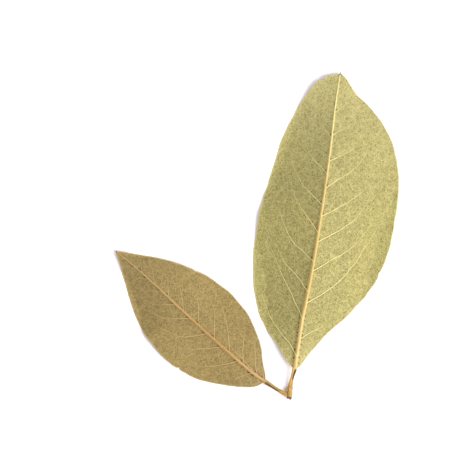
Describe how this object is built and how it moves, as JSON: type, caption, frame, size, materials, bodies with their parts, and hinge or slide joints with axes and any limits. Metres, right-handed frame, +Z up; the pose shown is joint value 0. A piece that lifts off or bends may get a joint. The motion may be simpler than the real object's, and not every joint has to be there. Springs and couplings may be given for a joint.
{
  "type": "bay leaf sprig",
  "caption": "Dried sprig of a broad and a shorter oval leaf on thin stalks, joined at a short torn twig, lying flat with their undersides up.",
  "frame": {"origin": "on the table, under the middle of the sprig's footprint", "axes": "+Z up from the table, +Y the way the large leaf points, from its stalk to its tip, within ten degrees"},
  "size_m": [0.085, 0.0971, 0.0086],
  "materials": {
    "twig_bark": "dry matt bark, tan with darker brown streaks, fibrous where it was torn",
    "bud_scales": "dry matt brown scales with a darker tip",
    "grey_green_leaf": "dry leathery leaf, matt grey-green underside with fine raised veins and a pale yellow midrib",
    "tan_leaf": "dry leathery leaf, matt tan-brown underside with fine raised veins and an orange-tan midrib"
  },
  "bodies": {
    "root": {"twig_stub": "twig_bark", "axillary_bud": "bud_scales", "large_leaf": "grey_green_leaf", "small_leaf": "tan_leaf"}
  },
  "joints": []
}
